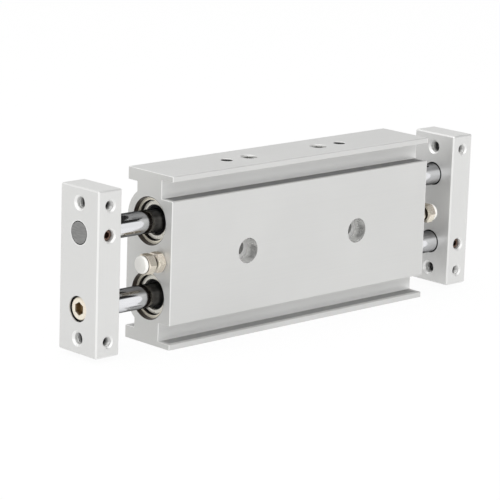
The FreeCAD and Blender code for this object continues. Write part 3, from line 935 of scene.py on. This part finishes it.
def cover_outline(tag, side):
    """A rod cover's section, counted from its outer face, with seal pocket, bush hole and ring
    groove."""
    size = Lengths(
        seal_room=0.1, groove_width=0.45, groove_depth=0.9, edge=0.3, oring_depth=1.5, hole_r=5.5
    )
    face = end_x("rod_cover_" + tag, side)
    length, across = size_of("rod_cover_" + tag)[:2]
    outer = across / 2

    def below_face(node):
        return SIDES[side] * (face - end_x(node + tag, side))

    seal_length, seal_across = size_of("rod_seal_" + tag)[:2]
    seal_r = seal_across / 2
    seal_end = below_face("rod_seal_") + seal_length
    bush_r = size_of("guide_bush_" + tag)[1] / 2
    bush_start = below_face("guide_bush_")
    ring_start = below_face("cover_oring_")
    ring_end = ring_start + size_of("cover_oring_" + tag)[0]
    ring_r = outer - size.oring_depth
    groove = settings().detail.cover_groove_r
    return np.array([
        (0, seal_r + size.seal_room), (0, groove), (size.groove_depth, groove),
        (size.groove_depth, groove + size.groove_width), (0, groove + size.groove_width),
        (0, outer - size.edge), (size.edge, outer),
        (ring_start, outer), (ring_start, ring_r), (ring_end, ring_r), (ring_end, outer),
        (length, outer), (length, bush_r), (bush_start, bush_r), (bush_start, size.hole_r),
        (seal_end, size.hole_r), (seal_end, seal_r),
    ])


def wiper_outline(length, outer, inner):
    """A wiper seal's section: a raised lip at the rod, a groove, and a flat heel."""
    size = Lengths(
        sunk=0.05, edge=0.3, heel=0.2, groove=0.8, groove_width=0.15, lip=0.25, lip_edge=0.12
    )
    middle = (outer + inner) / 2
    return np.array([
        (size.sunk, outer), (0.0, outer - size.edge), (0.0, middle + size.heel),
        (size.groove, middle), (size.groove, middle - size.groove_width),
        (size.sunk, inner + size.lip), (size.lip_edge, inner), (length, inner), (length, outer),
    ])


def spring_ring(centre, direction, thickness, outer, detail):
    """An open ring and the two drilled eyes that pliers grip. The ring's width falls with the
    cosine of the angle, by a fifth from opposite the gap to the gap, and its section is a
    rounded rectangle. The gap lies to the rear, turned down from there."""
    size = Lengths(edge=0.25, eye_r=1.15, eye_hole_r=0.55, eye_edge=0.1, eye_inset=0.5)
    turn, gap, width = detail.ring_turn, detail.ring_gap, detail.ring_width
    first = math.cos(turn) * REARWARD - math.sin(turn) * UPWARD
    second = np.cross(direction, first)
    angle = np.linspace(gap / 2, ALL_ROUND - gap / 2, 121)
    inner = outer - width * (0.80 + 0.20 * (1 - np.cos(angle)) / 2)
    section = softened([(0, 0), (thickness, 0), (thickness, 1), (0, 1)], size.edge)
    depth = section[:, :1] + 0 * angle
    across = inner + (outer - inner) * section[:, 1:]
    grid = round_axis(centre, direction, first, depth, across, angle)
    caps = grid.mean(0, keepdims=True) + 0 * grid
    shells = [shell(np.concatenate([caps[:, :1], grid, caps[:, -1:]], 1), ring=False)]

    eye_at = outer - width - size.eye_inset
    eye_angle = gap / 2 + size.eye_r / eye_at
    eye = softened([
        (0, size.eye_hole_r), (0, size.eye_r), (thickness, size.eye_r), (thickness, size.eye_hole_r)
    ], size.eye_edge, 3)
    for sign in (-1, 1):
        place = (
            np.asarray(centre)
            + eye_at * math.cos(eye_angle) * first
            + sign * eye_at * math.sin(eye_angle) * second
        )
        shells.append(shell(lathe(place, direction, eye, around=32)))
    return shells


class CYLINDER_OT_bore_ends(bpy.types.Operator):
    """Make the spring rings, rod covers and rod seals in the four bore mouths"""
    bl_idname = "cylinder.bore_ends"
    bl_label = "Bore ends"

    def execute(self, context):
        colours = settings().colours
        detail = settings().detail
        wiper_edge = 0.12 * MM
        black = rubber_finish("black_nitrile", colours.seal)
        plated = ring_finish(colours)
        for level in LEVELS:
            turned = cover_finish(colours, level)
            for side, sign in SIDES.items():
                tag = side + "_" + level
                inward = -sign * ALONG

                def place(node):
                    return rod_centre(level) + ALONG * end_x(node, side)

                def add(name, shells, material, slot, node):
                    piece(name + tag, shells, material, "housing", [node])

                node = "rod_cover_" + tag
                cover = softened(cover_outline(tag, side), detail.turned_edge, 3)
                shells = [shell(lathe(place(node), inward, cover))]
                add("cover_", shells, turned, "cover_aluminium", node)

                node = "rod_seal_" + tag
                length, outer = size_of(node)[:2] * (1, 0.5)
                wiper = softened(wiper_outline(length, outer, detail.wiper_r), wiper_edge, 3)
                shells = [shell(lathe(place(node), inward, wiper))]
                add("wiper_", shells, black, "seal_rubber", node)

                node = "retaining_ring_" + tag
                thickness, _, across = size_of(node)
                shells = spring_ring(place(node), inward, thickness, across / 2, detail)
                add("spring_ring_", shells, plated, "zinc_plate", node)
        return {"FINISHED"}


# ---- stops -----------------------------------------------------------------------------------

CONE_SLOPE = math.tan(math.radians(30))  # of the cones turned on a hexagon's corners
STOP_THREAD_R = 2.5 * MM


def on_stop(side, x):
    """The point on a stop's axis at one X."""
    return centre_of("lock_nut_" + side) * ROUND_X + ALONG * x


def inner_x(node, side):
    """The X of a node's end away from one side."""
    return end_x(node, "left" if side == "right" else "right")


def hexagon_part(origin, direction, across_flats, height, bottom_r, top_r, hole_r):
    """A turned blank with flat faces, cones and a wall at the corners' radius, cut down to a
    hexagon: where the hexagon is nearer than the wall or a cone, the point moves in to it."""
    detail = settings().detail
    corner = corner_radius(across_flats)
    bottom = run((0, bottom_r), ((corner - bottom_r) * CONE_SLOPE, corner), 7)
    top = run((height - (corner - top_r) * CONE_SLOPE, corner), (height, top_r), 7)
    blank = np.vstack([[(0, hole_r)], bottom, top, [(height, hole_r)]])

    def cut(along, across, angle):
        side = hexagon_radius(across_flats, angle)
        outside = across > side
        on_top = outside & (along >= height - (across - top_r) * CONE_SLOPE - ON_WALL)
        on_bottom = outside & (along <= (across - bottom_r) * CONE_SLOPE + ON_WALL)
        along = np.where(on_top, height - (side - top_r) * CONE_SLOPE, along)
        along = np.where(on_bottom, (side - bottom_r) * CONE_SLOPE, along)
        return along, np.where(outside, side, across)

    return shell(lathe(origin, direction, blank, around=detail.around, shape=cut))


def face_radii(across_flats, detail):
    """The radii of a hexagon's outer face and of the one where head and lock nut meet."""
    half = across_flats / 2
    return half * detail.outer_face_share, half * detail.inner_face_share


def make_nut(side, plated, detail):
    """A lock nut, flat on the body's end."""
    node = "lock_nut_" + side
    hole_r = STOP_THREAD_R + 0.25 * MM
    height, _, flats = size_of(node)
    outer_r, inner_r = face_radii(flats, detail)
    place = on_stop(side, end_x("body", side))
    nut = hexagon_part(place, SIDES[side] * ALONG, flats, height, outer_r, inner_r, hole_r)
    piece("nut_" + side, [nut], plated, "housing", [node], bevel=detail.head_bevel)


def make_bolt(side, plated, detail):
    """A stop bolt: a hexagon head right under the soft tip, and a threaded shank."""
    size = Lengths(hole_r=1.0, start=0.4, chamfer=0.5)
    node = "stop_bolt_" + side
    outward = SIDES[side] * ALONG
    length, _, flats = size_of(node)
    height = detail.head_height
    outer_r, inner_r = face_radii(flats, detail)
    place = on_stop(side, inner_x("stop_tip_" + side, side)) - outward * height
    head = hexagon_part(place, outward, flats, height, inner_r, outer_r, size.hole_r)

    shank = length - height / 2
    outline = np.vstack([
        [(0, 0), (0, STOP_THREAD_R - size.chamfer)],
        thread_points(size.start, shank, detail.fine_pitch, STOP_THREAD_R),
        [(shank, 0)],
    ])
    cut = threaded(size.start, shank, detail.fine_pitch, detail.thread_depth, STOP_THREAD_R)
    place = on_stop(side, inner_x(node, side))
    thread = shell(lathe(place, outward, outline, around=64, shape=cut), loop=False)
    shells = [head, thread]
    piece("bolt_" + side, shells, plated, "housing", [node], bevel=detail.head_bevel)


def make_tip(side, white):
    """A soft tip: a wall with a rounded shoulder and a slightly domed face."""
    size = Lengths(dome=0.12, shoulder=0.8)
    steps = 7
    node = "stop_tip_" + side
    height, across = size_of(node)[:2]
    radius = across / 2
    rim = height - size.dome
    block = softened([(0, 0), (0, radius), (rim, radius), (rim, 0)], size.shoulder, steps)
    dome = run((rim, radius - size.shoulder), (height, 0), 9)
    dome[:, 0] = height - size.dome * (dome[:, 1] / dome[0, 1]) ** 2
    outline = np.vstack([[(0, 0)], block[steps:3 * steps], dome[1:]])
    tip = lathe(on_stop(side, inner_x(node, side)), SIDES[side] * ALONG, outline)
    piece("tip_" + side, [shell(tip, loop=False)], white, "housing", [node])


class CYLINDER_OT_stops(bpy.types.Operator):
    """Make the adjustable stops: threaded bolts, lock nuts and soft tips"""
    bl_idname = "cylinder.stops"
    bl_label = "Stops"

    def execute(self, context):
        colours = settings().colours
        detail = settings().detail
        white = urethane_finish(colours)
        plated = stop_finish(colours)
        for side in SIDES:
            make_nut(side, plated, detail)
            make_bolt(side, plated, detail)
            make_tip(side, white)
        return {"FINISHED"}


# ---- screws and plugs ------------------------------------------------------------------------

def socket_points(size):
    """A socket's section, from the cone at its bottom to its chamfered mouth."""
    corner = corner_radius(size.flats)
    return [
        (size.deep + size.cone, 0), (size.deep, corner), (size.mouth, corner),
        (0, corner + size.flare),
    ]


def socket_shape(across_flats, depth):
    """Turns the round hole in a screw's end into a hexagonal one."""
    corner = corner_radius(across_flats)

    def shape(along, across, angle):
        inside = (along <= depth) & (across <= corner * 1.001)
        share = hexagon_radius(across_flats, angle) / corner
        return along, np.where(inside, across * share, across)
    return shape


def knurl_shape(radius, start, end, depth):
    """Fine straight knurling: the wall's radius follows a wave of the angle."""
    teeth = 48

    def shape(along, across, angle):
        on_wall = (np.abs(across - radius) < ON_WALL) & (along > start) & (along < end)
        return along, across - np.where(on_wall, depth * (0.5 + 0.5 * np.cos(teeth * angle)), 0)
    return shape


def cap_screw(place, direction, length, head_r, detail):
    """A socket head cap screw: a rounded crown, a knurled wall and a thread."""
    size = Lengths(
        flats=5.0, deep=3.0, cone=0.8, mouth=0.15, flare=0.25, head=6.0, stem_r=3.0,
        wall_start=1.0, wall_end=0.4, knurl_start=0.9, knurl_end=0.3, knurl=0.12,
        run_in=0.2, run_out=0.4, end_chamfer=0.5,
    )
    start, end = size.head + size.run_in, length - size.run_out
    wall_end, knurl_end = size.head - size.wall_end, size.head - size.knurl_end
    crown = [(0, -0.7), (0.12, -0.45), (0.45, -0.06), (0.7, 0)]
    underside = [(-0.1, -0.15), (0, -0.3)]
    outline = np.vstack([
        socket_points(size),
        np.array((0, head_r)) + np.array(crown) * MM,
        run((size.wall_start, head_r), (wall_end, head_r), 4),
        np.array((size.head, head_r)) + np.array(underside) * MM,
        [(size.head, size.stem_r)],
        thread_points(start, end, detail.face_pitch, size.stem_r),
        [(length, size.stem_r - size.end_chamfer), (length, 0)],
    ])
    cut = after(
        socket_shape(size.flats, size.deep),
        knurl_shape(head_r, size.knurl_start, knurl_end, size.knurl),
        threaded(start, end, detail.face_pitch, detail.thread_depth, size.stem_r),
    )
    grid = lathe(place, direction, outline, first=UPWARD, around=192, shape=cut)
    return shell(grid, loop=False)


def headless_screw(place, direction, length, radius, size, detail, first=None):
    """A screw without a head, with its socket in the end that lies at place."""
    end = length - size.run_out
    outline = np.vstack([
        socket_points(size),
        [(0, radius - size.rim)],
        thread_points(size.start, end, detail.fine_pitch, radius),
        [(length, radius - size.end_chamfer), (length, 0)],
    ])
    cut = after(
        socket_shape(size.flats, size.deep),
        threaded(size.start, end, detail.fine_pitch, detail.thread_depth, radius),
    )
    return shell(lathe(place, direction, outline, first, shape=cut), loop=False)


class CYLINDER_OT_screws(bpy.types.Operator):
    """Make the cap screws, set screws and port plugs with their hexagon sockets"""
    bl_idname = "cylinder.screws"
    bl_label = "Screws and plugs"

    def execute(self, context):
        colours = settings().colours
        detail = settings().detail
        dark = plain_finish("brown_steel", colours.set_screw, 0.28)
        nickel = plain_finish("nickel_plug", colours.plug, 0.26)
        grub = Lengths(
            flats=2.5, deep=2.4, cone=0.5, mouth=0.1, flare=0.1,
            rim=0.45, start=0.4, run_out=0.3, end_chamfer=0.4,
        )
        plug = Lengths(
            flats=4.0, deep=2.2, cone=0.6, mouth=0.12, flare=0.2,
            rim=0.4, start=0.35, run_out=0.2, end_chamfer=0.3,
        )
        for side, sign in SIDES.items():
            node = "cap_screw_" + side
            top = rod_centre(capped_level(side)) + ALONG * end_x(node, side)
            length, across = size_of(node)[:2]
            shells = [cap_screw(top, -sign * ALONG, length, across / 2, detail)]
            plated = screw_finish(colours, side)
            piece("socket_screw_" + side, shells, plated, "slider", [node])

            node = "set_screw_" + side
            across, length = size_of(node)[:2]
            mouth = centre_of(node) - REARWARD * length / 2
            shells = [headless_screw(mouth, REARWARD, length, across / 2, grub, detail)]
            piece("grub_screw_" + side, shells, dark, "slider", [node])

        low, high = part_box("port_plugs")
        _, across, length = size_of("port_plugs")
        radius = across / 2
        shells = []
        for x in (low.x + radius, high.x - radius):
            top = (x, low.y + radius, high.z)
            shells.append(headless_screw(top, -UPWARD, length, radius, plug, detail, ALONG))
        piece("plugs", shells, nickel, "housing", ["port_plugs"])
        return {"FINISHED"}


# ---- tapped and bored holes ------------------------------------------------------------------

def lining(mouth, inward, wall_r, length, chamfer, pitch, depth):
    """A tapped hole's skin: the cone at its mouth, then a thread cut into its wall. Its back is
    buried in the metal round the hole. Gives the shell and each point's depth below the mouth."""
    size = Lengths(run_in=0.05, back=0.08, spread=0.04)
    around = 72
    inner_r = wall_r - HIDE
    start, end = chamfer + size.run_in, length - size.run_in
    outline = np.vstack([
        [(0.0, inner_r + chamfer), (chamfer, inner_r)],
        thread_points(start, end, pitch, inner_r),
        [(length, inner_r), (length, wall_r + BURIED), (chamfer + BURIED, wall_r + BURIED)],
        [(size.back, wall_r + chamfer + size.spread)],
    ])
    cut = threaded(start, end, pitch, depth, inner_r)
    part = shell(lathe(mouth, inward, outline, around=around, shape=cut))
    return part, np.repeat(outline[:, 0], around)


def plate_holes(side, detail):
    """Linings for the holes in a plate's faces and front edge, and over its set screw."""
    size = Lengths(face_length=6.0, face_chamfer=0.9, edge_length=7.0, edge_chamfer=0.7)
    shallow = 0.8  # the set screw's thread, as a share of the others
    depth = detail.thread_depth
    low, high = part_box("end_plate_" + side)
    holes = []
    face = mount(side + "_plate_bolts")
    wall_r = face["dims"]["hole_r_mm"] * MM
    for up in mount_pair(face, "spacing_y_mm"):
        for x, inward in ((low.x, ALONG), (high.x, -ALONG)):
            mouth = (x, 0, face["pos_m"][2] + up)
            holes.append(lining(
                mouth, inward, wall_r, size.face_length, size.face_chamfer,
                detail.face_pitch, depth,
            ))
    edge = mount(side + "_plate_edge_bolts")
    wall_r = edge["dims"]["hole_r_mm"] * MM
    x = edge["pos_m"][0]
    for up in mount_pair(edge, "spacing_y_mm"):
        mouth = (x, low.y, edge["pos_m"][2] + up)
        holes.append(lining(
            mouth, REARWARD, wall_r, size.edge_length, size.edge_chamfer,
            detail.fine_pitch, depth,
        ))
    screw = "set_screw_" + side
    mouth = (x, low.y, rod_centre(through_level(side))[2])
    holes.append(lining(
        mouth, REARWARD, size_of(screw)[0] / 2 + HIDE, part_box(screw)[0].y - low.y,
        size.edge_chamfer, detail.fine_pitch, depth * shallow,
    ))
    return holes


def body_holes(detail):
    """Linings for the two holes in the body's top face and for the two air ports."""
    size = Lengths(top_length=7.0, top_chamfer=0.3, spot_face=0.5, port_length=3.2)
    # painted shade: the top holes' walls are painted dark from their mouths on
    top_hole_shade = 20  # the top holes are dark from their mouths on
    holes = []
    top = mount("top_bolts")
    wall_r = top["dims"]["hole_r_mm"] * MM
    for x in mount_pair(top, "spacing_x_mm"):
        part, depths = lining(
            (x, 0, top["pos_m"][2]), -UPWARD, wall_r, size.top_length, size.top_chamfer,
            detail.fine_pitch, detail.thread_depth,
        )
        holes.append((part, depths * top_hole_shade))
    for side in SIDES:
        port = mount(side + "_port")
        mouth = (port["pos_m"][0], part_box("body")[1].y - size.spot_face, port["pos_m"][2])
        holes.append(lining(
            mouth, -REARWARD, port["dims"]["r_mm"] * MM, size.port_length, 0.0,
            detail.fine_pitch, detail.thread_depth,
        ))
    return holes


def counterbore_walls():
    """Plain linings for the two counterbores, just below the front face."""
    size = Lengths(sunk=0.02, radius=5.5, length=6.4, step=1.0)
    bolts = mount("body_bolts")
    walls = []
    for x in mount_pair(bolts, "spacing_x_mm"):
        mouth = (x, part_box("body")[0].y + size.sunk, bolts["pos_m"][2])
        wall, _ = lining(mouth, REARWARD, size.radius, size.length, 0.0, size.step, 0.0)
        walls.append(wall)
    return walls


class CYLINDER_OT_threads(bpy.types.Operator):
    """Line the tapped holes with bright chamfers and threads, and the counterbores"""
    bl_idname = "cylinder.threads"
    bl_label = "Threads"

    def execute(self, context):
        colours = settings().colours
        detail = settings().detail
        bright = thread_finish(colours)

        def add(name, holes, body, slot):
            shells, depths = zip(*holes)
            piece(name, shells, bright, body, depths=depths)

        for side in SIDES:
            holes = plate_holes(side, detail)
            add("plate_threads_" + side, holes, "slider", "plate_aluminium")
        add("body_threads", body_holes(detail), "housing", "body_aluminium")
        bored = bored_finish(colours)
        piece("counterbore_walls", counterbore_walls(), bored, "housing")
        return {"FINISHED"}


# ---- stage -----------------------------------------------------------------------------------

WHITE = (1.0, 1.0, 1.0, 1.0)


def sky(stage):
    """White behind everything. Even light from all round for matt surfaces; polished ones see
    a bright front, a duller rear and a dark patch high on the right."""
    world = bpy.data.worlds.new("studio")
    bpy.context.scene.world = world
    world.use_nodes = True
    nodes = Nodes(world.node_tree)
    generated = nodes.node("ShaderNodeTexCoord").outputs["Generated"]
    x, y, z = nodes.node("ShaderNodeSeparateXYZ", {0: generated}).outputs
    rear = nodes.ramp(y, 0.0, 0.45, stage.front_shine, stage.rear_shine)
    high = nodes.times(nodes.ramp(z, 0.30, 0.48), nodes.ramp(z, 0.80, 0.92, 1.0, 0.0))
    patch = nodes.times(high, nodes.ramp(x, 0.15, 0.5))
    shine = nodes.ramp(patch, 0.0, 1.0, rear, stage.dark_patch)
    path = nodes.node("ShaderNodeLightPath").outputs
    level = nodes.ramp(path["Is Glossy Ray"], 0.0, 1.0, stage.sky, shine)
    seen = nodes.maths("MAXIMUM", path["Is Camera Ray"], path["Is Transmission Ray"])
    level = nodes.ramp(seen, 0.0, 1.0, level, 1.0)
    lit = nodes.node("ShaderNodeBackground", {"Color": WHITE, "Strength": level})
    nodes.node("ShaderNodeOutputWorld", {"Surface": lit.outputs[0]})


def floor_finish(stage):
    """A white floor that shows white to the camera and keeps soft shadows. Polished metal sees
    it dark behind the object and bright elsewhere. From below it is clear."""
    glow_share = 0.94
    finish = Finish("white_floor")
    finish.use((0.9, 0.9, 0.9, 1.0), 0.9)
    path = finish.node("ShaderNodeLightPath").outputs
    seen = finish.maths("MAXIMUM", path["Is Camera Ray"], path["Is Glossy Ray"])
    seen = finish.maths("MAXIMUM", seen, path["Is Transmission Ray"])
    behind = finish.ramp(finish.axis(1), 0.02, 0.07)
    right = finish.ramp(finish.axis(0), -0.08, -0.03)
    dark = finish.times(behind, right)
    shine = finish.ramp(dark, 0.0, 1.0, stage.front_shine, stage.dark_patch)
    level = finish.ramp(path["Is Glossy Ray"], 0.0, 1.0, 1.0, shine)
    glow = finish.node("ShaderNodeEmission", {"Color": WHITE, "Strength": level})
    clear = finish.node("ShaderNodeBsdfTransparent")
    back = finish.node("ShaderNodeNewGeometry").outputs["Backfacing"]

    def mix(share, first, second):
        inputs = {0: share, 1: first.outputs[0], 2: second.outputs[0]}
        return finish.node("ShaderNodeMixShader", inputs)

    above = mix(finish.times(seen, glow_share), finish.surface, glow)
    finish.put(finish.output.inputs["Surface"], mix(back, above, clear).outputs[0])
    return finish.material


def floor(stage):
    """A wide square floor for the object to stand on, which belongs to the stage."""
    reach = 3.0
    corners = [(-reach, -reach, 0), (reach, -reach, 0), (reach, reach, 0), (-reach, reach, 0)]
    mesh = bpy.data.meshes.new("floor")
    mesh.from_pydata(corners, [], [(0, 1, 2, 3)])
    mesh.materials.append(floor_finish(stage))
    obj = bpy.data.objects.new("floor", mesh)
    bpy.context.scene.collection.objects.link(obj)


def softbox(name, place, aim, side, watts):
    """A square lamp that faces a point."""
    lamp = bpy.data.lights.new(name, "AREA")
    lamp.shape = "RECTANGLE"
    lamp.size = lamp.size_y = side
    lamp.energy = watts
    obj = bpy.data.objects.new(name, lamp)
    bpy.context.scene.collection.objects.link(obj)
    obj.location = place
    obj.rotation_euler = (aim - place).to_track_quat("-Z", "Y").to_euler()


def camera(stage, aim):
    """A camera that looks at a point from the stage's angles and distance."""
    turn, rise = stage.azimuth, stage.elevation
    level = math.cos(rise)
    back = Vector((math.sin(turn) * level, -math.cos(turn) * level, math.sin(rise)))
    lens = bpy.data.cameras.new("camera")
    lens.lens = stage.lens
    lens.clip_start, lens.clip_end = 0.05, 20.0
    obj = bpy.data.objects.new("camera", lens)
    bpy.context.scene.collection.objects.link(obj)
    facing = (-back).to_track_quat("-Z", "Y").to_matrix().to_4x4()
    tilt = Matrix.Rotation(-stage.roll, 4, "Z")
    obj.matrix_world = Matrix.Translation(aim + back * stage.distance) @ facing @ tilt
    bpy.context.scene.camera = obj


class CYLINDER_OT_stage(bpy.types.Operator):
    """Set up the floor, the sky, the softboxes and the camera"""
    bl_idname = "cylinder.stage"
    bl_label = "Stage"

    def execute(self, context):
        stage = settings().stage
        context.scene.view_settings.view_transform = "Standard"
        sky(stage)
        floor(stage)
        low, high = CAD_BOX
        centre = (low + high) / 2
        lamps = {
            "key": ((-0.55, -0.80, 0.50), 1.2, stage.key),
            "side": ((-1.00, -0.20, 0.35), 1.0, stage.side),
            "top": ((-0.10, 0.10, 1.05), 1.2, stage.top),
        }
        for name, (offset, side, watts) in lamps.items():
            softbox(name, centre + Vector(offset), centre, side, watts)
        camera(stage, centre + Vector(stage.aim))
        return {"FINISHED"}


# ---- steps -----------------------------------------------------------------------------------

STEPS = (
    CYLINDER_OT_body,
    CYLINDER_OT_rods,
    CYLINDER_OT_bore_ends,
    CYLINDER_OT_stops,
    CYLINDER_OT_screws,
    CYLINDER_OT_threads,
    CYLINDER_OT_inside,
    CYLINDER_OT_stage,
)


class CYLINDER_PT_steps(bpy.types.Panel):
    """Lists the steps that dress the cylinder"""
    bl_idname = "CYLINDER_PT_steps"
    bl_label = "Twin-rod cylinder"
    bl_space_type = "VIEW_3D"
    bl_region_type = "UI"
    bl_category = "Cylinder"

    def draw(self, context):
        for step in STEPS:
            self.layout.operator(step.bl_idname)


GROUPS = (CylinderColours, CylinderDetail, CylinderStage, CylinderSettings)
CLASSES = (*GROUPS, *STEPS, CYLINDER_PT_steps)


def register():
    for cls in CLASSES:
        bpy.utils.register_class(cls)
    bpy.types.Scene.cylinder_settings = PointerProperty(type=CylinderSettings)


def unregister():
    del bpy.types.Scene.cylinder_settings
    for cls in reversed(CLASSES):
        bpy.utils.unregister_class(cls)


def main():
    register()
    bpy.ops.cylinder.body()
    bpy.ops.cylinder.rods()
    bpy.ops.cylinder.bore_ends()
    bpy.ops.cylinder.stops()
    bpy.ops.cylinder.screws()
    bpy.ops.cylinder.threads()
    bpy.ops.cylinder.inside()
    bpy.ops.cylinder.stage()


if __name__ == "__main__":
    main()
